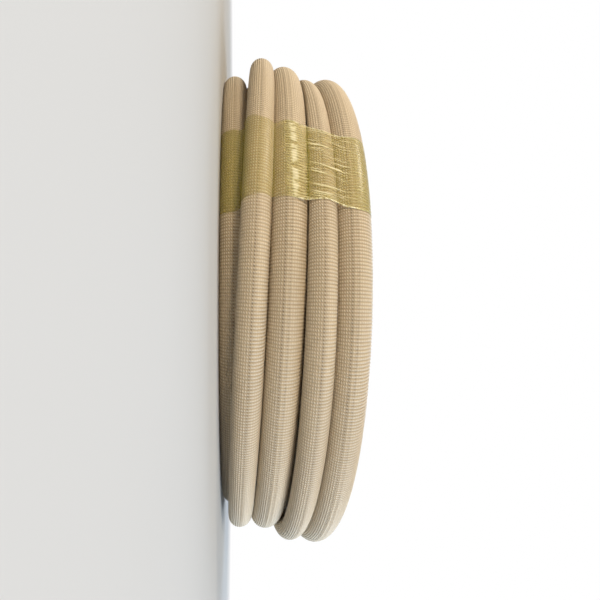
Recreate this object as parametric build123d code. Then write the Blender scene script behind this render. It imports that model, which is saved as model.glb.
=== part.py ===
"""Coil of paired, foam-insulated copper tube, lying flat and held by bands of tape.

A thin and a thick copper tube, each in its own foam sleeve, are wound side by side as one
pair. The turns are rings of round section, so each group of turns is a turned solid about
its own axis: the lower turns lie flat on the floor, the outer lower pair leans, and the
upper turns have slipped sideways on them. Units are millimetres, +Z is up.
"""
import os
from dataclasses import dataclass
from math import atan, cos, degrees, pi, radians, sin, sqrt

from build123d import *

# Copper and foam
SMALL_COPPER_OD = 9.53
LARGE_COPPER_OD = 19.05
SMALL_COPPER_WALL = 0.81
LARGE_COPPER_WALL = 1.07
FOAM_WALL = 12.7
SQUEEZE = 0.4            # how far two sleeves press into each other
FLOOR_FLAT = 0.8         # how much the lowest sleeves are flattened where they lie

# Turns: ring radii are to the middle of a tube
OUTER_RING = 391.3       # small tube of the outer lower pair
OUTER_HEIGHT = 41.0      # its height above the floor, in the middle of its lean
OUTER_SETBACK = 1.5      # its large tube lies this much further in
INNER_SETBACK = 45.3     # large tube of the first inner layer lies this much further in
INNER_SKEW = 14.0        # the small tube on the floor lies this much further out
INNER_LAYERS = 3
UPPER_SETIN = 9.9        # small tube of the outer upper pair lies this much further in
UPPER_HEIGHT = 116.7
UPPER_SETBACK = 4.0      # its large tube lies this much further in
TOP_SETBACK = 59.3       # both tubes of the upper pair next inside it lie this much further in
TOP_HEIGHT = 101.0
TOP_LAYERS = 2

# Lean of a group is its rise per millimetre along X and Y, and slip is its axis in plan
OUTER_SLIP = (6.3, 1.6)
OUTER_LEAN = (-0.0377, 0.0078)
UPPER_SLIP = (32.0, -19.4)
UPPER_LEAN = (-0.029, 0.003)

# Free ends of the pair: azimuth where each leaves its ring, and its own bend and length
OUTER_END_AT = 106.0
OUTER_END_BEND = 900.0
OUTER_END_LENGTH = 190.0
OUTER_END_KINK = 4.0     # degrees by which it turns off the ring
OUTER_END_RISE = 4.0     # degrees by which it rises over the turn below
OUTER_END_TUCK = 3.0     # how deep its foam starts inside the bundle
INNER_END_AT = -25.0
INNER_END_BEND = 160.0
INNER_END_LENGTH = 140.0
INNER_END_KINK = 8.0
INNER_END_RISE = 0.0
INNER_END_TUCK = 1.5
COPPER_SHOWS = 42.0      # bare copper beyond the foam
COPPER_BURIED = 30.0     # length of the stub inside the foam
COPPER_CLEAR = 0.2
CAP_WALL = 1.2
CAP_LENGTH = 22.0
CAP_CLEAR = 0.1

# Tape bands round the bundle
TAPE_AZIMUTHS = {"front_tape_band": -112.0, "back_tape_band": 122.0}
TAPE_WIDTH = 104.0
TAPE_THICKNESS = 0.6
TAPE_CLEAR = 0.3

small_r = SMALL_COPPER_OD / 2 + FOAM_WALL
large_r = LARGE_COPPER_OD / 2 + FOAM_WALL


@dataclass
class Turn:
    """One ring of one tube: its ring radius, its height and its tube's outer radius."""
    ring: float
    height: float
    tube: float


@dataclass
class Group:
    """Turns about one axis, which passes slip at the first turn's height and leans by two slopes."""
    turns: list
    slip: tuple = (0.0, 0.0)
    lean: tuple = (0.0, 0.0)

    def place(self):
        """Location that takes the upright group to its own axis."""
        foot = self.turns[0].height
        tilt_x = degrees(atan(self.lean[1]))
        tilt_y = -degrees(atan(self.lean[0]))
        return Pos(*self.slip, foot) * Rot(tilt_x, tilt_y, 0) * Pos(0, 0, -foot)

    def section_at(self, azimuth):
        """(radius, height, tube) of each turn in the vertical plane at an azimuth."""
        along = (cos(radians(azimuth)), sin(radians(azimuth)))
        rows = []
        for turn in self.turns:
            above = turn.height - self.turns[0].height
            middle = (self.slip[0] - self.lean[0] * above, self.slip[1] - self.lean[1] * above)
            forward = middle[0] * along[0] + middle[1] * along[1]
            sideways = middle[1] * along[0] - middle[0] * along[1]
            radius = forward + sqrt(turn.ring ** 2 - sideways ** 2)
            reach_x = radius * along[0] - middle[0]
            reach_y = radius * along[1] - middle[1]
            height = turn.height + self.lean[0] * reach_x + self.lean[1] * reach_y
            rows.append((radius, height, turn.tube))
        return rows


def stacked(below, ring, tube):
    """A turn of the given ring radius that rests on the turn below it."""
    touch = below.tube + tube - SQUEEZE
    rise = sqrt(touch ** 2 - (ring - below.ring) ** 2)
    return Turn(ring, below.height + rise, tube)


def outer_pair():
    """Outer lower pair: small tube below, large tube on it."""
    small = Turn(OUTER_RING, OUTER_HEIGHT, small_r)
    return Group([small, stacked(small, OUTER_RING - OUTER_SETBACK, large_r)], OUTER_SLIP, OUTER_LEAN)


def inner_pairs():
    """Lower pairs inside the outer one, each with its small tube flat on the floor."""
    turns = []
    for layer in range(INNER_LAYERS):
        ring = OUTER_RING - INNER_SETBACK - layer * (2 * large_r - SQUEEZE)
        small = Turn(ring + INNER_SKEW, small_r - FLOOR_FLAT, small_r)
        turns += [small, stacked(small, ring, large_r)]
    return Group(turns)


def upper_pair():
    """Outer upper pair, which has slipped sideways on the turns below."""
    small = Turn(OUTER_RING - UPPER_SETIN, UPPER_HEIGHT, small_r)
    return Group([small, stacked(small, small.ring - UPPER_SETBACK, large_r)], UPPER_SLIP, UPPER_LEAN)


def top_pairs():
    """Level upper pairs inside the outer one."""
    turns = []
    for layer in range(TOP_LAYERS):
        ring = OUTER_RING - TOP_SETBACK - layer * (2 * large_r - SQUEEZE)
        small = Turn(ring, TOP_HEIGHT, small_r)
        turns += [small, stacked(small, ring, large_r)]
    return Group(turns, UPPER_SLIP)


def circles(turns):
    """Sections of some turns in the XZ plane."""
    return [Pos(turn.ring, turn.height) * Circle(turn.tube) for turn in turns]


def centres(turns):
    return [(turn.ring, turn.height) for turn in turns]


def turned(profile, axis=Axis.Z, angle=360.0):
    """Solid turned from a flat profile whose X is the radius and whose Y is the height."""
    return revolve(Plane.XZ * profile, axis, angle)


def merged(shapes):
    """Union of several flat shapes or solids."""
    whole = shapes[0]
    for shape in shapes[1:]:
        whole = whole + shape
    return whole


def filled(turns, loop, extra=()):
    """Profile of the turns, filled inside the loop of points, which runs through their middles."""
    return merged(circles(turns) + [make_face(Polyline(*loop, close=True))] + list(extra))


@dataclass
class FreeEnd:
    """The pair's end, which leaves its ring on an arc of its own bend."""
    name: str
    group: Group
    turns: list
    azimuth: float
    bend: float
    length: float
    kink: float
    rise: float
    tuck: float
    way: int             # -1 runs clockwise from above and outwards, 1 the other way and inwards

    def __post_init__(self):
        self.ring = sum(turn.ring for turn in self.turns) / 2
        self.pivot = self.ring - self.bend
        self.angle = self.way * degrees(self.length / self.bend)

    def leaving(self):
        """From a section at azimuth 0 to where the end leaves its ring, in the group's own frame."""
        seat = self.ring + self.way * self.tuck
        height = self.turns[0].height
        turning = Pos(seat, 0, height) * Rot(self.way * self.rise, 0, self.kink) * Pos(-self.ring, 0, -height)
        return Rot(0, 0, self.azimuth) * turning

    def tip(self):
        """From what is built at azimuth 0 to the far end of the arc, in the coil's frame."""
        along_arc = Pos(self.pivot, 0, 0) * Rot(0, 0, self.angle) * Pos(-self.pivot, 0, 0)
        return self.group.place() * self.leaving() * along_arc

    def sleeve(self, turn):
        """Foam of one tube's free end."""
        arc = turned(merged(circles([turn])), Axis((self.pivot, 0, 0), (0, 0, 1)), self.angle)
        return self.leaving() * arc

    def rod(self, turn, radius, start, length):
        """Round bar along the tube's middle, from start mm before the foam's end face."""
        middle = Pos(turn.ring, self.way * (length / 2 - start), turn.height)
        return self.tip() * middle * Rot(90, 0, 0) * Cylinder(radius, length)

    def copper(self, turn, copper_od, wall):
        """Bare copper tube that stands out of the foam."""
        length = COPPER_BURIED + COPPER_SHOWS
        outside = self.rod(turn, copper_od / 2, COPPER_BURIED, length)
        return outside - self.rod(turn, copper_od / 2 - wall, COPPER_BURIED + wall, length + 2 * wall)

    def socket(self, turn, copper_od):
        """Room for the copper in the foam."""
        return self.rod(turn, copper_od / 2 + COPPER_CLEAR, COPPER_BURIED + COPPER_CLEAR, COPPER_BURIED * 2)

    def cap(self, turn, copper_od):
        """Push-on cap that closes the bare copper."""
        start = CAP_LENGTH - COPPER_SHOWS - CAP_WALL - CAP_CLEAR
        bore_r = copper_od / 2 + CAP_CLEAR
        body = self.rod(turn, bore_r + CAP_WALL, start, CAP_LENGTH)
        return body - self.rod(turn, bore_r, start + CAP_WALL, CAP_LENGTH)


def lower_solid(group, end):
    """Lower inner turns with their fill and free end, cut flat where they lie on the floor."""
    smalls, larges = group.turns[0::2], group.turns[1::2]
    loop = centres(smalls) + centres(larges)[::-1]
    sleeves = merged([end.sleeve(turn) for turn in end.turns])
    below_floor = Pos(0, 0, -large_r) * Cylinder(2 * OUTER_RING, 2 * large_r)
    return turned(filled(group.turns, loop)) + sleeves - below_floor


def outer_solid(group, inner):
    """Outer lower pair with a hidden rib that joins it to the inner turns."""
    small, large = group.turns
    seat = inner.turns[1]
    rib = [(seat.ring, small.height), (seat.ring, seat.height + seat.tube / 2)]
    loop = centres([small, large]) + rib[::-1]
    return group.place() * turned(filled(group.turns, loop))


def upper_solid(group, top, end):
    """Outer upper pair with its free end and a hidden rib to the pair inside it."""
    small, large = group.turns
    seat = top.turns[1]
    rib = Polyline(
        (small.ring, small.height), (large.ring, large.height),
        (seat.ring, seat.height), (seat.ring, small.height), close=True,
    )
    ended = [turned(merged(circles([turn]))) + end.sleeve(turn) for turn in group.turns]
    return group.place() * (merged(ended) + turned(make_face(rib)))


def top_solid(group, inner):
    """Level upper pairs with a hidden rib down into the lower turns."""
    smalls, larges = group.turns[0::2], group.turns[1::2]
    loop = centres(smalls) + centres(larges)[::-1]
    foot = inner.turns[1].height
    middle = (smalls[0].ring + smalls[-1].ring) / 2
    rib = Polyline(
        (middle + small_r / 2, TOP_HEIGHT), (middle + small_r / 2, foot),
        (middle - small_r / 2, foot), (middle - small_r / 2, TOP_HEIGHT), close=True,
    )
    return group.place() * turned(filled(group.turns, loop, [make_face(rib)]))


def bundle_outline(groups, azimuths, grown, floor):
    """Flat face stretched round all turns at some azimuths, grown outwards and cut off at a height."""
    edges = []
    for azimuth in azimuths:
        for group in groups:
            for radius, height, tube in group.section_at(azimuth):
                edges += (Pos(radius, height) * Circle(tube + grown)).edges()
    span = 2 * OUTER_RING
    return make_hull(edges) & Pos(span / 2, floor + span / 2) * Rectangle(span, span)


def tape_band(groups, azimuth):
    """Closed band of tape round the bundle, turned about the lower turns' axis."""
    half_angle = degrees(TAPE_WIDTH / 2 / OUTER_RING)
    stations = (azimuth - half_angle, azimuth, azimuth + half_angle)
    outside = bundle_outline(groups, stations, TAPE_CLEAR + TAPE_THICKNESS, 0)
    inside = bundle_outline(groups, stations, TAPE_CLEAR, TAPE_THICKNESS)
    return Rot(0, 0, azimuth - half_angle) * turned(outside - inside, angle=2 * half_angle)


def tape_relief(azimuth):
    """Shallow sector under the bundle, where the tape presses the foam up."""
    half_angle = degrees((TAPE_WIDTH / 2 + TAPE_CLEAR) / OUTER_RING)
    depth = TAPE_THICKNESS + TAPE_CLEAR
    span = OUTER_RING + 2 * large_r
    slab = turned(Pos(span / 2, 0) * Rectangle(span, 2 * depth), angle=2 * half_angle)
    return Rot(0, 0, azimuth - half_angle) * slab


def build():
    """All pieces by name, with the origin under the middle of the whole coil's box."""
    inner, outer, upper, top = inner_pairs(), outer_pair(), upper_pair(), top_pairs()
    groups = [inner, outer, upper, top]
    outer_end = FreeEnd(
        "outer", upper, upper.turns, OUTER_END_AT, OUTER_END_BEND, OUTER_END_LENGTH,
        OUTER_END_KINK, OUTER_END_RISE, OUTER_END_TUCK, -1,
    )
    inner_end = FreeEnd(
        "inner", inner, inner.turns[-2:], INNER_END_AT, INNER_END_BEND, INNER_END_LENGTH,
        INNER_END_KINK, INNER_END_RISE, INNER_END_TUCK, 1,
    )
    coil = merged([
        lower_solid(inner, inner_end), outer_solid(outer, inner),
        top_solid(top, inner), upper_solid(upper, top, outer_end),
    ])
    pieces = {}
    for end in (outer_end, inner_end):
        small, large = end.turns
        coil -= [end.socket(small, SMALL_COPPER_OD), end.socket(large, LARGE_COPPER_OD)]
        pieces[f"small_copper_{end.name}_end"] = end.copper(small, SMALL_COPPER_OD, SMALL_COPPER_WALL)
        pieces[f"large_copper_{end.name}_end"] = end.copper(large, LARGE_COPPER_OD, LARGE_COPPER_WALL)
        pieces[f"small_cap_{end.name}"] = end.cap(small, SMALL_COPPER_OD)
        pieces[f"large_cap_{end.name}"] = end.cap(large, LARGE_COPPER_OD)
    for name, azimuth in TAPE_AZIMUTHS.items():
        coil -= tape_relief(azimuth)
        pieces[name] = tape_band(groups, azimuth)
    pieces["insulated_tube_coil"] = coil
    boxes = [piece.bounding_box() for piece in pieces.values()]
    low = Vector(*(min(getattr(box.min, axis) for box in boxes) for axis in "XYZ"))
    high = Vector(*(max(getattr(box.max, axis) for box in boxes) for axis in "XYZ"))
    middle = (low + high) / 2
    print("axis of the lower turns:", round(-middle.X, 3), round(-middle.Y, 3))
    wound = sum(turn.ring for group in groups for turn in group.turns[0::2]) * 2 * pi
    print("small tube wound:", round(wound / 1000, 2), "m")
    return {name: Pos(-middle.X, -middle.Y, 0) * piece for name, piece in pieces.items()}


os.makedirs("parts", exist_ok=True)
for node, solid in build().items():
    size = solid.bounding_box().size
    export_step(solid, f"parts/{node}.step")
    print(f"{node}: {len(solid.solids())} solid, {size.X:.1f} x {size.Y:.1f} x {size.Z:.1f}")
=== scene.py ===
# %% [markdown]
# # A coil of twin copper tube in foam sleeves
# The real object is a pair of copper tubes, a thin one and a thick one, each in its own sleeve of cream foam.
# The pair is wound round and round into a flat-lying coil, and clear tape holds the turns together.
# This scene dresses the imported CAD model. The CAD has one plain ring for each turn. Here both tubes are
# wound as they really are, in one long run from the inner free end to the outer one.

import bpy
import numpy as np
from mathutils import Matrix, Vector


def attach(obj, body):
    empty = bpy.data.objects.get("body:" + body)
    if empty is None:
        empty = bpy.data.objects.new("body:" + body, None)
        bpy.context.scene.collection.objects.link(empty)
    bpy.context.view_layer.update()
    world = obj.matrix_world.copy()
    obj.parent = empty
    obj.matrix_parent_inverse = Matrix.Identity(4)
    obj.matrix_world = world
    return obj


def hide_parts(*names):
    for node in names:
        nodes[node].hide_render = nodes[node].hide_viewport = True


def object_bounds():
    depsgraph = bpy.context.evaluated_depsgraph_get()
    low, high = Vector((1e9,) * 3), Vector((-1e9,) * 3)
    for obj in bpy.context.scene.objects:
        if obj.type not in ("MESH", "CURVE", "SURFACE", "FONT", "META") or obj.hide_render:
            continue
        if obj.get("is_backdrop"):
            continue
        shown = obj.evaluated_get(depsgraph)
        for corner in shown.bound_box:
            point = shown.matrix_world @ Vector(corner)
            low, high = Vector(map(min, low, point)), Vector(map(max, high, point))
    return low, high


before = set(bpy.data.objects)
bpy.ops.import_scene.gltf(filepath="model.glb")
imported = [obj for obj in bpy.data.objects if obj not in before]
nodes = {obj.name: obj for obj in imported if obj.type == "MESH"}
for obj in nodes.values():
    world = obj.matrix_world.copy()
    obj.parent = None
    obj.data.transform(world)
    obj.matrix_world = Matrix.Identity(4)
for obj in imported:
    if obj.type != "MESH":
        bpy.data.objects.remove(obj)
cad_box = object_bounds()
MM = 0.001
print("nodes:", sorted(nodes))

# %% [markdown]
# ## Camera
# The photograph was taken from very near, almost at the height of the second tube, with the camera on its
# side: up is on the right of the picture. So the camera's own right-hand axis points up.
# The place and the turn come from a fit to the edges of the five visible tubes.

# %% The camera, at the photograph's viewing angle
AXIS = np.array([-14.315, 2.917])          # middle of the lower turns, in mm
CAMERA_AT = np.array([4.69, -922.20, 21.51])  # in mm about that middle
LENS, SENSOR = 28.24, 36.0                 # focal length and picture width, in mm
yaw, pitch, roll = 0.0129, 0.1326, 0.0042  # radians
ahead = np.array([np.sin(yaw) * np.cos(pitch), np.cos(yaw) * np.cos(pitch), np.sin(pitch)])
side = np.array([np.cos(yaw), -np.sin(yaw), 0.0])
above = np.cross(side, ahead)
room_right = np.cos(roll) * side + np.sin(roll) * above
room_up = -np.sin(roll) * side + np.cos(roll) * above

camera = bpy.data.objects.new("camera", bpy.data.cameras.new("camera"))
bpy.context.scene.collection.objects.link(camera)
camera.data.sensor_width, camera.data.lens, camera.data.clip_start = SENSOR, LENS, 0.01
place = np.eye(4)
place[:3, 0], place[:3, 1], place[:3, 2] = room_up, -room_right, -ahead
place[:3, 3] = (CAMERA_AT + [*AXIS, 0.0]) * MM
camera.matrix_world = Matrix(place.tolist())
bpy.context.scene.camera = camera
print("camera at", np.round(place[:3, 3], 3))

# %% [markdown]
# ## Helpers for materials
# Shader nodes are easier to read as formulas. One small class wraps a socket, so that `a * b + 1` adds the
# Math nodes for us, and one method makes any other node from its type, its settings and its inputs.

# %% A socket with operators, and a material made of nodes
class Value:
    """One output socket of a shader tree. An operator adds the Math node of the same meaning."""

    def __init__(self, shader, socket):
        self.shader, self.socket = shader, socket

    def math(self, operation, *others):
        inputs = {i: v for i, v in enumerate((self,) + others)}
        return self.shader.node("ShaderNodeMath", {"operation": operation}, inputs)

    def __add__(self, other): return self.math("ADD", other)
    def __mul__(self, other): return self.math("MULTIPLY", other)
    def __sub__(self, other): return self.math("SUBTRACT", other)
    def __rsub__(self, other): return self.math("MULTIPLY", -1.0).math("ADD", other)
    def __truediv__(self, other): return self.math("DIVIDE", other)
    def __pow__(self, other): return self.math("POWER", other)
    __radd__, __rmul__ = __add__, __mul__

    def wave(self): return (self * (2 * np.pi)).math("COSINE") * 0.5 + 0.5
    def step(self, low, high):
        settings = {"interpolation_type": "SMOOTHSTEP", "clamp": True}
        return self.shader.node("ShaderNodeMapRange", settings, {0: self, 1: low, 2: high, 3: 0.0, 4: 1.0})


class Shader:
    """A procedural material: node() makes any node, principled() ends the tree."""

    def __init__(self, tree):
        self.tree = tree
        tree.nodes.clear()

    def node(self, kind, settings=None, inputs=None, out=0):
        made = self.tree.nodes.new(kind)
        for key, value in (settings or {}).items():
            setattr(made, key, value)
        for key, value in (inputs or {}).items():
            if isinstance(value, Value):
                self.tree.links.new(value.socket, made.inputs[key])
            else:
                made.inputs[key].default_value = value
        return Value(self, made.outputs[out]) if len(made.outputs) else None

    def parts(self, vector):
        return [self.node("ShaderNodeSeparateXYZ", None, {0: vector}, out) for out in range(3)]

    def vector(self, x, y, z): return self.node("ShaderNodeCombineXYZ", None, {0: x, 1: y, 2: z})

    def object_at(self): return self.node("ShaderNodeTexCoord", None, None, 3)

    def noise(self, at, scale, detail=2.0, rough=0.5):
        inputs = {"Vector": at, "Scale": scale, "Detail": detail, "Roughness": rough}
        return self.node("ShaderNodeTexNoise", None, inputs)

    def mix(self, share, first, second):
        return self.node("ShaderNodeMix", {"data_type": "RGBA"}, {0: share, 6: first, 7: second}, 2)

    def bump(self, height, distance):
        return self.node("ShaderNodeBump", None, {"Height": height, "Distance": distance, "Strength": 1.0})

    def principled(self, **inputs):
        named = {key.replace("_", " "): value for key, value in inputs.items()}
        surface = self.node("ShaderNodeBsdfPrincipled", None, named)
        self.node("ShaderNodeOutputMaterial", None, {"Surface": surface})


def material(name):
    made = bpy.data.materials.new(name)
    made.use_nodes = True
    return made, Shader(made.node_tree)


def rgb(red, green, blue):
    """A colour as seen on a screen, 0 to 255, as linear light."""
    c = np.array([red, green, blue]) / 255.0
    return (*np.where(c < 0.04045, c / 12.92, ((c + 0.055) / 1.055) ** 2.4).tolist(), 1.0)

# %% [markdown]
# ## Where each turn lies
# A turn is a circle that may be shifted and a little tilted. Its radius, middle, height and slopes were
# fitted for the five tubes that can be seen. The two "outer" rings were then moved off their fit, by up to
# about 5 mm, to narrow the gap between them. The hidden turns are a guess: they lie inside the others,
# side by side. The depths of ridges and grooves further down, the tones and the lamps were also set.
# At the back, which the photograph doesn't show, the turns follow the CAD rings.
# One turn runs into the next by a short smooth shift, and all these crossings lie at the back on the right.

# %% The turns as rings, in mm about the middle of the lower turns
THIN_RADIUS, THICK_RADIUS = 17.465, 22.225  # outside of each sleeve
THIN_BORE, THICK_BORE = 4.965, 9.725       # its bore, 0.2 mm wider on each side than the copper
SLIP = (32.0, -19.4)                       # the upper turns have slipped this far
#          radius, middle x, middle y, height, slope along x, slope along y
THIN = {
    "inner": (271.9, 0, 0, 16.7, 0, 0), "middle": (315.95, 0, 0, 16.7, 0, 0),
    "inner_upper": (287.95, *SLIP, 101.0, 0, 0), "middle_upper": (332.0, *SLIP, 101.0, 0, 0),
    "bottom": (359.38, 0, 0, 17.33, 0, 0),
    "outer": (389.60, 4.20, -4.50, 46.70, -0.0438, 0.0220),
    "outer_back": (391.3, 6.3, 1.6, 41.0, -0.0377, 0.0078),
    "top": (378.36, 31.03, -25.80, 113.15, -0.0290, -0.0053),
    "top_back": (381.4, 32, -19.4, 116.7, -0.029, 0.003),
}
THICK = {
    "inner": (257.9, 0, 0, 53.4, 0, 0), "middle": (301.95, 0, 0, 53.4, 0, 0),
    "inner_upper": (287.95, *SLIP, 140.29, 0, 0), "middle_upper": (332.0, *SLIP, 140.29, 0, 0),
    "bottom": (346.0, 0, 0, 53.4, 0, 0),
    "outer": (379.40, 11.55, -9.80, 82.00, -0.0365, 0.0111),
    "outer_back": (389.8, 7.8, 1.3, 80.3, -0.0377, 0.0078),
    "top": (384.95, 32.91, -8.27, 153.34, -0.0231, -0.0008),
    "top_back": (377.4, 33.1, -19.5, 155.8, -0.029, 0.003),
}
# the turn that follows, and from where to where the tube moves over to it, in degrees wound so far
ORDER = [("inner", None, None), ("middle", -30, 10), ("inner_upper", 306, 344), ("middle_upper", 652, 682),
         ("bottom", 996, 1032), ("outer", 1347, 1377), ("top", 1695.5, 1729.5)]
WOUND = (-335.0, 2054.0)
print("turns wound:", round((WOUND[1] - WOUND[0]) / 360, 2))


def smooth(x):
    """3x^2 - 2x^3, a step from 0 to 1 that starts and ends level."""
    x = np.clip(x, 0, 1)
    return x * x * (3 - 2 * x)


def on_circle(ring, azimuth):
    """Distance from the axis and height of a ring at an azimuth: where the ray meets a circle that is off
    the axis, d + sqrt(R^2 - |c|^2 + d^2) with d = c . ray, and the plane h + a x + b y about its middle."""
    radius, cx, cy, height, ax, ay = ring
    d = cx * np.cos(azimuth) + cy * np.sin(azimuth)
    r = d + np.sqrt(radius ** 2 - cx ** 2 - cy ** 2 + d ** 2)
    return np.array([r, height + ax * (r * np.cos(azimuth) - cx) + ay * (r * np.sin(azimuth) - cy)])


def on_ring(rings, name, azimuth):
    """The front circle, and a share of 1 - front of the back circle where there is one."""
    here = on_circle(rings[name], azimuth)
    if name + "_back" not in rings:
        return here
    turned = (np.degrees(azimuth) - 90) % 360            # 0 at the back, 180 in front
    front = smooth((turned - 65) / 30) * (1 - smooth((turned - 262) / 28))
    return here * front + on_circle(rings[name + "_back"], azimuth) * (1 - front)


def section(rings, wound):
    """Distance from the axis and height of the tube after that many degrees, each move being
    old + smooth(share) * (new - old). The coil is wound clockwise as seen from above."""
    azimuth = -np.radians(wound)
    at = on_ring(rings, ORDER[0][0], azimuth)
    for name, start, stop in ORDER[1:]:
        at = at + smooth((wound - start) / (stop - start)) * (on_ring(rings, name, azimuth) - at)
    return at

# %% [markdown]
# ## The two sleeves
# Foam tube like this is one profile, a circle, carried along a path. Blender could bevel a curve, but then
# the embossed pattern could not be tied to the mesh. So the path is worked out as an array of points and the
# circle is set up around each one. The pattern's ridges lie every 3.9 mm. Where the photograph looks close,
# the points lie half a ridge apart, high and low in turn, so that even the outline shows the ridges.

# %% The path of one tube, from foam end to foam end
PITCH = 3.9                                # ridges of the embossing along the tube
RIDGE = 0.42                               # half the height of a ridge, in mm
THIN_CELLS, THICK_CELLS = 36, 46           # knots of the embossing around each tube
SPARSE = 6                                 # half ridges from row to row where the mesh may be coarser
COPPER_SHOWS = 42.0                        # bare copper beyond the foam, in mm
CUT_EDGE, BORE_DEPTH = 0.9, 28.0           # rounding of the cut foam, and how deep its bore is modelled


def stub(node, away_from):
    """Line of a straight copper stub: middle, direction and tip, the direction being the longest
    axis of its points, found from their covariance."""
    points = np.zeros(len(nodes[node].data.vertices) * 3)
    nodes[node].data.vertices.foreach_get("co", points)
    points = points.reshape(-1, 3) / MM
    middle = (points.max(0) + points.min(0)) / 2
    direction = np.linalg.eigh(np.cov((points - points.mean(0)).T))[1][:, -1]
    direction *= np.sign((middle - away_from) @ direction)
    along = (points - middle) @ direction
    return middle, direction, middle + direction * along.max()


def hermite(p0, t0, p1, t1, steps):
    """Cubic from p0 to p1 that leaves along t0 and arrives along t1."""
    s = np.linspace(0, 1, steps)[:, None]
    span = np.linalg.norm(p1 - p0)
    return ((2 * s ** 3 - 3 * s ** 2 + 1) * p0 + (s ** 3 - 2 * s ** 2 + s) * t0 * span
            + (3 * s ** 2 - 2 * s ** 3) * p1 + (s ** 3 - s ** 2) * t1 * span)


def run_of_tube(rings, inner_stub, outer_stub):
    """Points of the whole run in mm, with the degrees wound at each."""
    wound = np.arange(WOUND[0], WOUND[1] + 0.01, 0.1)
    r, z = section(rings, wound)
    a = -np.radians(wound)
    coil = np.stack([AXIS[0] + r * np.cos(a), AXIS[1] + r * np.sin(a), z], 1)
    ends = []
    for node, near, step in ((inner_stub, coil[0], 1), (outer_stub, coil[-1], -1)):
        _, out, tip = stub(node, near)
        leave = near - coil[1 if step == 1 else -2]
        leave = leave / np.linalg.norm(leave)
        ends.append(hermite(near, leave, tip - out * COPPER_SHOWS, out, 240))
    before, after = ends[0][:0:-1], ends[1][1:]
    points = np.concatenate([before, coil, after])
    angle = np.concatenate([np.full(len(before), WOUND[0]), wound, np.full(len(after), WOUND[1])])
    return points, angle


thin_run = run_of_tube(THIN, "small_copper_inner_end", "small_copper_outer_end")
thick_run = run_of_tube(THICK, "large_copper_inner_end", "large_copper_outer_end")
for name, (points, _) in (("thin", thin_run), ("thick", thick_run)):
    print(name, "tube:", round(np.linalg.norm(np.diff(points, axis=0), axis=1).sum() / 1000, 2), "m")

# %% Two small helpers for both the sleeves and the tape
def closed_grid(rows, around):
    """Row i, column j and the column after it, k, for each face of a grid that closes around."""
    i, j = np.meshgrid(np.arange(rows - 1), np.arange(around), indexing="ij")
    return i, j, (j + 1) % around


def shown(name, mesh, node):
    """The mesh as an object that is shown in place of a CAD node."""
    piece = bpy.data.objects.new(name, mesh)
    bpy.context.scene.collection.objects.link(piece)
    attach(piece, "root")
    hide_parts(node)
    return piece

# %% A closed sleeve around a path
def seen_close(angle):
    """Whether the photograph shows this part of the run near enough to see single ridges: from degree a to b
    of the bottom turn, of the pair above it and of the top pair."""
    return np.any([(angle > a) & (angle < b) for a, b in ((1105, 1240), (1450, 1615), (1810, 1975))], axis=0)


GROOVE = 1.7                               # left open between two sleeves that press together, in mm
PAIR_GROOVE = 0.3                          # the same between the two sleeves of one pair
FREE = 1e3                                 # how far away a plane is where no neighbour presses


def pressed(offset, angle, rings, radius, relief):
    """The skin where the neighbours press on it. A neighbour at distance D with radius p lacks
    q + p + groove - D of room. The skin gives way by half of that, a thin sleeve by 0.8 of it beside a thick
    one and a thick sleeve by 0.2 beside a thin one. What lies beyond, along the line of centres, goes back to
    that plane, but the ridges still stand out of it."""
    own = section(rings, angle)
    coiled = (angle > WOUND[0]) & (angle < WOUND[1])
    for others, other_radius in ((THIN, THIN_RADIUS), (THICK, THICK_RADIUS)):
        yields = 0.5 if others is rings else 0.8 if rings is THIN else 0.2
        for lap in range(-6, 7):
            if others is rings and lap == 0:
                continue
            there = angle + 360 * lap
            line = (section(others, there) - own).T
            apart = np.linalg.norm(line, axis=1)
            line /= np.maximum(apart, 1.0)[:, None]
            groove = PAIR_GROOVE if lap == 0 else GROOVE
            plane = radius - yields * (radius + other_radius + groove - apart)
            plane[plane > radius - 0.05] = FREE
            plane += relief
            plane[~coiled | (there < WOUND[0]) | (there > WOUND[1])] = FREE
            beyond = np.maximum(np.einsum("nkc,nc->nk", offset, line) - plane[:, None], 0)
            offset = offset - beyond[..., None] * line[:, None]
    return offset


def rows_along(run):
    """Where the rings of points lie along a run, in mm: every half ridge where it is seen close, else every
    SPARSE of them. With each comes 1 on a ridge or -1 between two, and the degrees wound."""
    points, angle = run
    length = np.concatenate([[0], np.cumsum(np.linalg.norm(np.diff(points, axis=0), axis=1))])
    half = PITCH / 2
    index = np.arange(1, int(length[-1] / half))
    close = seen_close(np.interp(index * half, length, angle))
    index = index[close | (index % SPARSE == 0)]
    at = np.concatenate([[0], index * half, [length[-1]]])
    ridge = np.where(np.concatenate([[0], index, [0]]) % 2 == 0, 1, -1)
    return length, at, ridge, np.interp(at, length, angle)


def axes_along(points, length, at):
    """Middle C, tangent T, level outward axis O and upward axis U of the path at each place."""
    def there(place):
        return np.stack([np.interp(place, length, points[:, k]) for k in range(3)], 1)
    tangent = there(np.minimum(at + 1, length[-1])) - there(np.maximum(at - 1, 0))
    tangent /= np.linalg.norm(tangent, axis=1)[:, None]
    outward = np.cross([0, 0, 1], tangent)
    outward /= np.linalg.norm(outward, axis=1)[:, None]
    return there(at), tangent, outward, np.cross(tangent, outward)


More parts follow.
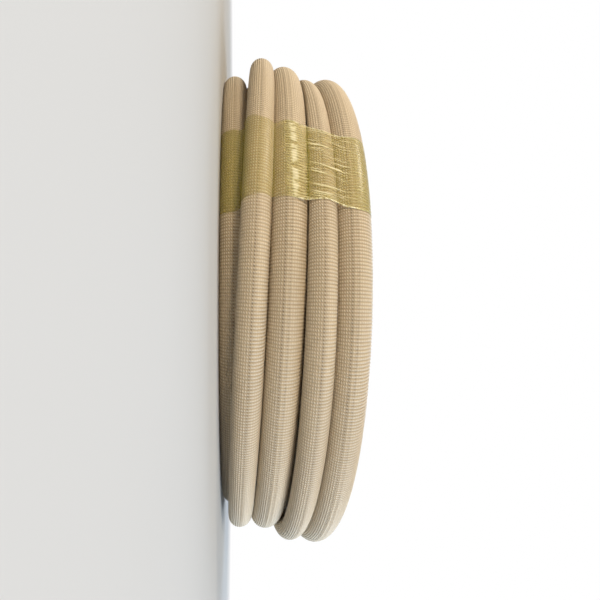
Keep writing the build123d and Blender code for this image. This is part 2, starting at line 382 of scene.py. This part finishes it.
def sleeve(name, rings, run, radius, bore, around, cells):
    """P = C + x O + z U: C goes along the path, O is level and outward, U is square to O and to the path.
    (x, z) = q (cos f, sin f), pressed flat by the neighbours. f goes round, and q is the radius, RIDGE higher
    on a ridge and RIDGE lower between two. The ends go in to the bore and down it, so the skin is closed."""
    length, at, ridge, angle = rows_along(run)
    centre, tangent, outward, up = axes_along(run[0], length, at)
    q = radius + ridge * RIDGE + 0.22 * np.sin(at / 47.0) * np.sin(at / 173.0 + 1.0)
    # three more rows close each end: in over the cut face, to the bore, and down it
    first, last = centre[0] + tangent[0] * BORE_DEPTH, centre[-1] - tangent[-1] * BORE_DEPTH
    rows_c = np.concatenate([[first, centre[0], centre[0]], centre, [centre[-1], centre[-1], last]])
    rows_q = np.concatenate([[bore, bore, radius - CUT_EDGE], q, [radius - CUT_EDGE, bore, bore]])
    pad = lambda v: np.concatenate([np.repeat(v[:1], 3, 0), v, np.repeat(v[-1:], 3, 0)])
    rows_o, rows_u, rows_at = pad(outward), pad(up), pad(at)
    f = np.arange(around) * 2 * np.pi / around
    offset = rows_q[:, None, None] * np.stack([np.cos(f), np.sin(f)], 1)
    offset = pressed(offset, pad(angle), rings, radius, pad(ridge * RIDGE))
    surface = rows_c[:, None] + offset[..., :1] * rows_o[:, None] + offset[..., 1:] * rows_u[:, None]
    surface[..., 2] = np.maximum(surface[..., 2], 0.0)
    n = len(rows_q)
    i, j, k = closed_grid(n, around)
    quads = np.stack([i * around + j, i * around + k, (i + 1) * around + k, (i + 1) * around + j], -1)
    quads = quads.reshape(-1, 4)
    u = rows_at / PITCH
    v = cells / around
    uv = np.stack([np.stack([u[i], j * v], -1), np.stack([u[i], (j + 1) * v], -1),
                   np.stack([u[i + 1], (j + 1) * v], -1), np.stack([u[i + 1], j * v], -1)], 2).reshape(-1, 2)
    faces = quads.tolist() + [list(range(around)), list(range((n - 1) * around, n * around))[::-1]]
    mesh = bpy.data.meshes.new(name)
    mesh.from_pydata((surface.reshape(-1, 3) * MM).tolist(), [], faces)
    layer = mesh.uv_layers.new(name="cells")
    full = np.zeros((len(mesh.loops), 2))
    full[:len(uv)] = uv
    layer.data.foreach_set("uv", full.ravel())
    cut = np.zeros(len(faces), int)
    cut[:3 * around], cut[(n - 4) * around:] = 1, 1
    mesh.polygons.foreach_set("material_index", cut)
    mesh.shade_smooth()
    mesh.update()
    print(name, "triangles:", 2 * len(quads))
    return shown(name, mesh, "insulated_tube_coil")


thin_sleeve = sleeve("thin_foam_sleeve", THIN, thin_run, THIN_RADIUS, THIN_BORE, 32, THIN_CELLS)
thick_sleeve = sleeve("thick_foam_sleeve", THICK, thick_run, THICK_RADIUS, THICK_BORE, 38, THICK_CELLS)

# %% [markdown]
# ## The embossed foam film
# The sleeve is soft foam under a thin film with a lattice of small raised cells, rows across the tube.
# A bump does this better than real cells, of which there would be half a million. The height is one wave
# along the tube times a weaker wave around it, and painted shade makes the colour a little deeper between the
# ridges.

# %% Foam film, with its long seams
def foam_film(name, cells, seams):
    """Height = ridge * (0.12 + 0.88 * knot), with ridge a wave along the tube and knot a wave around it.
    Within a knot the ridge is a little askew. On the strip next to the seam the knots are flatter and the
    ridges straight. A seam is a dotted groove at a fixed place around the tube, given with its width and
    depth."""
    made, s = material(name)
    u, v, _ = s.parts(s.node("ShaderNodeUVMap", {"uv_map": "cells"}))
    wander = s.noise(s.vector(u * 0.013, 0.0, 0.0), 1.0, 1.0) * 0.5 - 0.25
    around = ((v - seams[0][0] + wander) / cells).math("FRACT") * cells
    strip = around.step(0.2, 0.9) * (1.0 - around.step(cells * 0.2, cells * 0.24))
    knot = v.wave() * (1.0 - 0.6 * strip) + 0.3 * strip
    cell = s.noise(s.vector(u, v, 0.0), 0.9, 1.0)
    askew = ((v + 0.5).math("FRACT") - 0.5) * (1.0 - strip) * 0.35
    height = ((u + askew).wave() ** 0.8) * (knot * 0.88 + 0.12) * (cell * 0.7 + 0.65)
    seam = None
    for where, width, depth in seams:
        off = ((v - where + wander) / cells + 0.5).math("FRACT").math("SUBTRACT", 0.5)
        off = off.math("ABSOLUTE") * cells
        line = (1.0 - off.step(width * 0.4, width)) * (u.wave() * -0.6 + 1.0) * depth
        seam = line if seam is None else seam.math("MAXIMUM", line)
    at = s.object_at()
    cloud, fine = s.noise(at, 9.0, 2.0), s.noise(at, 260.0, 2.0)
    # Painted shade: the colour follows the embossed height. It is darker between ridges and knots, where
    # shade falls, and lighter on their tops, with some fine grain.
    tone = s.mix(height * 0.85 + 0.15 * fine, rgb(172, 149, 115), rgb(242, 229, 205))
    tone = s.mix((cloud - 0.35) * 0.5, tone, rgb(212, 196, 168))
    tone = s.mix(seam * 0.55, tone, rgb(132, 106, 72))
    relief = height + fine * 0.08 - seam * 0.8
    s.principled(Base_Color=tone, Roughness=0.5 + 0.1 * cloud, Normal=s.bump(relief, 0.0014))
    return made


def cut_foam():
    made, s = material("cut_foam")
    at = s.object_at()
    grain = s.noise(at, 900.0, 3.0)
    tone = s.mix(grain, rgb(206, 188, 150), rgb(234, 220, 186))
    s.principled(Base_Color=tone, Roughness=0.85, Normal=s.bump(grain, 0.0008))
    return made


cut = cut_foam()
thin_film = foam_film("thin_foam_film", THIN_CELLS, [(0.0, 0.30, 1.0), (1.0, 0.25, 0.4)])
thick_film = foam_film("thick_foam_film", THICK_CELLS, [(-2.0, 0.30, 1.0), (0.2, 0.25, 0.6)])
for piece, film in ((thin_sleeve, thin_film), (thick_sleeve, thick_film)):
    piece.data.materials.append(film)
    piece.data.materials.append(cut)
print("sleeve finishes:", [m.name for m in thin_sleeve.data.materials])

# %% [markdown]
# ## Clear tape
# Packing tape goes several times round the whole bundle of turns. Here it is one closed band, which bridges
# from tube to tube and is drawn a part of the way into each groove. Cloth simulation would be slow, and the
# result is plain to describe: the tight outline around the tubes, let in towards them.

# %% The outline of a band of tape
TAPE_ON_THIN, TAPE_ON_THICK = 17.7, 22.5   # how far from a tube's middle the tape lies on it, in mm
INSIDE = np.array([330.0, 92.0])           # a point inside the bundle: distance from the axis, height
SECOND_PAIR = 85.0                         # height of the second pair's thick tube


def tubes_at(azimuth):
    """All turns cut by the half plane at this azimuth: distance from the axis, height, radius."""
    found = []
    for rings, q in ((THIN, TAPE_ON_THIN), (THICK, TAPE_ON_THICK)):
        wound = -azimuth + 360 * np.arange(-3, 8)
        wound = wound[(wound > WOUND[0] - 2) & (wound < WOUND[1] + 2)]
        found += [(r, z, q) for r, z in zip(*section(rings, wound))]
    return np.array(found)


def tape_outline(azimuth, around):
    """From a point inside the bundle, one ray for each of `around` directions. The tight outline lies where
    the ray meets the nearest of the lines n . p = max(n . c + q) over the tubes. The tape lies a share of the
    way from there to the tubes, smoothed along the outline, and nowhere inside a tube: 0.75 of the way low
    down, where it is tight, and 0.15 above the second pair, where it runs straight across."""
    tubes = tubes_at(azimuth)
    c, q = tubes[:, :2] - INSIDE, tubes[:, 2]
    w = np.arange(720) * np.pi / 360
    normal = np.stack([np.cos(w), np.sin(w)], 1)
    support = (c @ normal.T + q[:, None]).max(0)
    f = np.arange(around) * 2 * np.pi / around - np.pi
    ray = np.stack([np.cos(f), np.sin(f)], 1)
    facing = ray @ normal.T
    tight = np.where(facing > 1e-3, support / np.maximum(facing, 1e-3), 1e9).min(1)
    along = c @ ray.T
    across = q[:, None] ** 2 - (c ** 2).sum(1)[:, None] + along ** 2
    skin = np.where(across > 0, along + np.sqrt(np.maximum(across, 0)), 0).max(0)
    let_in = np.interp(INSIDE[1] + tight * ray[:, 1], (84, 104), (0.75, 0.15))
    inward = let_in * np.clip(tight - skin, 0, 14)
    for _ in range(2):
        inward = (np.roll(inward, 1) + 2 * inward + np.roll(inward, -1)) / 4
    radius = np.maximum(tight - inward, skin) + 0.35
    return INSIDE + radius[:, None] * ray


def tape_band(name, node, heights, left, right, around=320):
    """A grid of azimuth by direction. P = axis + r (cos a, sin a) at height z, with r and z from the outline
    at azimuth a. The two edges of the band, left and right, are azimuths that change with height. The
    coordinates for the look are in mm, u along the tubes and v around the bundle, with v = 0 outside at
    SECOND_PAIR."""
    azimuths = np.linspace(min(left) - 0.5, max(right) + 0.5, 40)
    outlines = np.array([tape_outline(a, around) for a in azimuths])
    tall = outlines[20, :, 1]
    low, high = np.interp(tall, heights, left), np.interp(tall, heights, right)
    share = np.linspace(0, 1, 53)[:, None] + np.zeros(around)
    waver = 0.12 * np.sin(tall / 7.0) + 0.10 * np.sin(tall / 17.0 + 1.0)
    a = low + share * (high - low) + waver * (2 * share - 1) ** 4
    at = (a - azimuths[0]) / (azimuths[1] - azimuths[0])
    k = np.clip(at.astype(int), 0, len(azimuths) - 2)
    j = np.arange(around)[None, :] + 0 * k
    rows = outlines[k, j] + (at - k)[..., None] * (outlines[k + 1, j] - outlines[k, j])
    step = np.linalg.norm(np.roll(rows, -1, 1) - rows, axis=2)
    v = np.concatenate([np.zeros((len(rows), 1)), np.cumsum(step, 1)], 1)
    outside = np.where(rows[..., 0] > 350, np.abs(rows[..., 1] - SECOND_PAIR), 1e3).argmin(1)
    v -= v[np.arange(len(rows)), outside][:, None]
    u = 395.0 * np.radians(a - azimuths[0])
    r, z = rows[..., 0], np.maximum(rows[..., 1], 0.3)
    turn = np.radians(a)
    surface = np.stack([AXIS[0] + r * np.cos(turn), AXIS[1] + r * np.sin(turn), z], -1)
    n, m = surface.shape[:2]
    i, j, k = closed_grid(n, m)
    quads = np.stack([i * m + j, (i + 1) * m + j, (i + 1) * m + k, i * m + k], -1).reshape(-1, 4)
    uv = np.stack([np.stack([u[i, j], v[i, j]], -1), np.stack([u[i + 1, j], v[i + 1, j]], -1),
                   np.stack([u[i + 1, k], v[i + 1, j + 1]], -1), np.stack([u[i, k], v[i, j + 1]], -1)], 2)
    mesh = bpy.data.meshes.new(name)
    mesh.from_pydata((surface.reshape(-1, 3) * MM).tolist(), [], quads.tolist())
    mesh.uv_layers.new(name="tape").data.foreach_set("uv", uv.ravel())
    edge = np.stack([share[i, j], share[i + 1, j], share[i + 1, j], share[i, j]], -1)
    mesh.uv_layers.new(name="share").data.foreach_set("uv", np.stack([edge, 0 * edge], -1).ravel())
    mesh.shade_smooth()
    piece = shown(name, mesh, node)
    shell = piece.modifiers.new("thickness", "SOLIDIFY")
    shell.thickness, shell.offset = 0.25 * MM, 1.0
    print(name, "faces:", len(quads), "outline:", round(v[n // 2, -1] - v[n // 2, 0]), "mm")
    return piece


front_tape = tape_band("front_tape", "front_tape_band", (17, 50, 88, 121, 161),
                       (-122.6, -120.7, -120.9, -119.35, -118.3), (-104.0, -105.3, -104.6, -104.4, -102.8))
back_tape = tape_band("back_tape", "back_tape_band", (0, 190), (114.3, 114.9), (129.2, 129.8))

# %% Clear tape, a little yellow
def clear_tape():
    """u runs along the tubes and v around the bundle, in mm, with v = 0 halfway up the second pair's thick
    tube. Streaks are narrow waves of slant = u - 0.22 v. Near v = 0 the tape rests on the ridges, where
    glints are painted on as pale, denser colour. From v = 20 on it runs free, with a few long streaks that
    are also painted as highlights, and a painted highlight runs along its two edges."""
    made, s = material("clear_tape")
    u, v, _ = s.parts(s.node("ShaderNodeUVMap", {"uv_map": "tape"}))
    share = s.parts(s.node("ShaderNodeUVMap", {"uv_map": "share"}))[0]
    on_ridges = v.step(-11.0, -5.0) * (1.0 - v.step(12.0, 24.0))
    hottest = v.step(-4.0, 1.0) * (1.0 - v.step(4.0, 10.0))
    free = v.step(14.0, 28.0) * (1.0 - v.step(60.0, 100.0))
    bend = s.noise(s.vector(u * 0.02, v * 0.02, 0.0), 1.0, 2.0) * 5.0
    slant = u - v * 0.22 + bend
    row = (slant / PITCH).wave() ** 2.0
    patch = s.noise(s.vector(slant * 0.12, v * 0.05, 0.0), 1.0, 2.0)
    each = s.noise(s.vector(slant * 0.45, v * 0.014, 5.0), 1.0, 2.0)
    broken = s.noise(s.vector(v * 0.2, 0.0, 0.0), 1.0, 2.0).step(0.3, 0.6)
    edge = (1.0 - (share * (1.0 - share)).step(0.008, 0.03)) * broken
    # Painted highlight: this glint mask, on the ridge rows, the hottest band, a few long streaks and the two
    # edges, makes the tape pale, denser and a little glossier.
    painted_glint = row * on_ridges * patch.step(0.25, 0.55) * (hottest * 0.4 + 0.6)
    painted_glint = painted_glint.math("MAXIMUM", hottest * patch.step(0.36, 0.52) * 0.7)
    painted_glint = painted_glint.math("MAXIMUM", free * each.step(0.57, 0.63) * 0.75)
    painted_glint = painted_glint.math("MAXIMUM", v.step(-12.0, 0.0) * (1.0 - v.step(60.0, 120.0)) * edge * 0.8)
    layer = s.noise(s.vector(u * 0.03, v * 0.012, 3.0), 1.0, 2.0)
    wraps = v.step(68.0, 84.0) * 0.10 + (1.0 - v.step(-64.0, -50.0)) * 0.10
    tone = s.mix(layer, rgb(204, 186, 48), rgb(186, 170, 24))
    tone = s.mix(wraps * 4.0, tone, rgb(152, 150, 34))
    # Painted highlight: pale cream where the glint mask is.
    tone = s.mix(painted_glint, tone, rgb(255, 247, 214))
    relief = row * (1.0 - free) * 0.2 + each * (free * 0.9 + 0.15) + patch * 0.3
    s.principled(Base_Color=tone, Roughness=0.32 - 0.16 * painted_glint, IOR=1.5, Specular_IOR_Level=0.8,
                 Alpha=0.10 + 0.06 * layer + wraps + painted_glint * 0.82, Normal=s.bump(relief, 0.0006))
    return made


tape_look = clear_tape()
for piece in (front_tape, back_tape):
    piece.data.materials.append(tape_look)
print("tape finish:", tape_look.name)

# %% [markdown]
# ## Bare copper and caps
# At each free end a short length of copper stands out of the foam, and a plain cap keeps dust out of it.
# These keep their CAD shape, which is right, and only get a finish.

# %% Drawn copper and moulded caps
def drawn_copper():
    made, s = material("drawn_copper")
    at = s.object_at()
    cloud, fine = s.noise(at, 60.0, 3.0), s.noise(at, 700.0, 2.0)
    tone = s.mix(cloud, rgb(230, 166, 134), rgb(202, 134, 104))
    s.principled(Base_Color=tone, Metallic=1.0, Roughness=0.2 + 0.2 * cloud, Normal=s.bump(fine, 0.00006))
    return made


def moulded_cap():
    made, s = material("moulded_cap")
    at = s.object_at()
    cloud, fine = s.noise(at, 40.0, 2.0), s.noise(at, 1500.0, 2.0)
    tone = s.mix(cloud, rgb(222, 218, 206), rgb(206, 201, 188))
    s.principled(Base_Color=tone, Roughness=0.5, Normal=s.bump(fine, 0.00008))
    return made


copper, cap = drawn_copper(), moulded_cap()
for name, node in nodes.items():
    finish = copper if "copper" in name else cap if "cap" in name else None
    if finish:
        node.data.materials.clear()
        node.data.materials.append(finish)
        print(name, "->", finish.name)

# %% [markdown]
# ## Floor, background and light
# The floor is a wide pale sheet and isn't part of the object. Far from the coil it fades to white, for the
# camera only. In the photograph the light is warm from in front and at the near end of the tubes, and cool
# from the other end and from behind.

# %% Floor
floor_mesh = bpy.data.meshes.new("floor")
floor_mesh.from_pydata([(-6, -6, 0), (6, -6, 0), (6, 6, 0), (-6, 6, 0)], [], [(0, 1, 2, 3)])
floor = bpy.data.objects.new("floor", floor_mesh)
bpy.context.scene.collection.objects.link(floor)
floor_look, s = material("pale_floor")
at = s.object_at()
cloud = s.noise(at, 3.0, 3.0)
near = s.node("ShaderNodeBsdfPrincipled", None,
              {"Base Color": s.mix(cloud, rgb(188, 186, 182), rgb(196, 194, 190)), "Roughness": 0.8})
far = s.node("ShaderNodeEmission", None, {"Color": (1.0, 1.0, 1.0, 1.0), "Strength": 1.0})
x, y, _ = s.parts(at)
distance = (x * x + y * y) ** 0.5
faded = distance.step(0.5, 1.5) * s.node("ShaderNodeLightPath", None, None, 0)
both = s.node("ShaderNodeMixShader", None, {0: faded, 1: near, 2: far})
s.node("ShaderNodeOutputMaterial", None, {"Surface": both})
floor_mesh.materials.append(floor_look)
floor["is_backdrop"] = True
print("stage:", floor.name)

# %% World and lamps
world = bpy.data.worlds.new("studio")
bpy.context.scene.world = world
world.use_nodes = True
s = Shader(world.node_tree)
paths = [s.node("ShaderNodeLightPath", None, None, i) for i in (0, 3, 6)]
plain = paths[0].math("MAXIMUM", paths[1]).math("MAXIMUM", paths[2])
ambient = s.node("ShaderNodeBackground", None, {"Color": (0.95, 0.97, 1.0, 1.0), "Strength": 0.18})
white = s.node("ShaderNodeBackground", None, {"Color": (1.0, 1.0, 1.0, 1.0), "Strength": 1.0})
s.node("ShaderNodeOutputWorld", None,
       {"Surface": s.node("ShaderNodeMixShader", None, {0: plain, 1: ambient, 2: white})})


def lamp(name, at, aim, size, watts, colour):
    """An area lamp that faces the point aim."""
    light = bpy.data.lights.new(name, "AREA")
    light.size, light.energy, light.color = size, watts, colour
    made = bpy.data.objects.new(name, light)
    bpy.context.scene.collection.objects.link(made)
    back = np.array(at, float) - np.array(aim, float)
    z = back / np.linalg.norm(back)
    x = np.cross([0, 0, 1], z)
    x /= np.linalg.norm(x)
    turn = np.eye(4)
    turn[:3, 0], turn[:3, 1], turn[:3, 2], turn[:3, 3] = x, np.cross(z, x), z, at
    made.matrix_world = Matrix(turn.tolist())


lamp("warm_key", (-0.8, -2.5, 0.95), (0, -0.3, 0.1), 0.8, 37, (1.0, 0.86, 0.67))
lamp("cool_window", (2.2, -0.8, 1.0), (0.1, -0.2, 0.1), 1.3, 58, (0.66, 0.81, 1.0))
lamp("cool_back", (0.0, 1.8, 1.9), (0, 0, 0.1), 1.4, 30, (0.66, 0.80, 1.0))
lamp("warm_ceiling", (-1.3, -0.5, 1.2), (-0.17, -0.36, 0.05), 0.3, 11, (1.0, 0.90, 0.74))
bpy.context.scene.view_settings.view_transform = "Standard"

# %% [markdown]
# The dressed object's box and the CAD model's box are printed side by side. The dressed object must
# stay inside the CAD model's box.

# %% Write both boxes and finish
look_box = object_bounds()
for label, box in (("CAD box", cad_box), ("scene box", look_box)):
    print(label, [np.round(c, 3).tolist() for c in box])
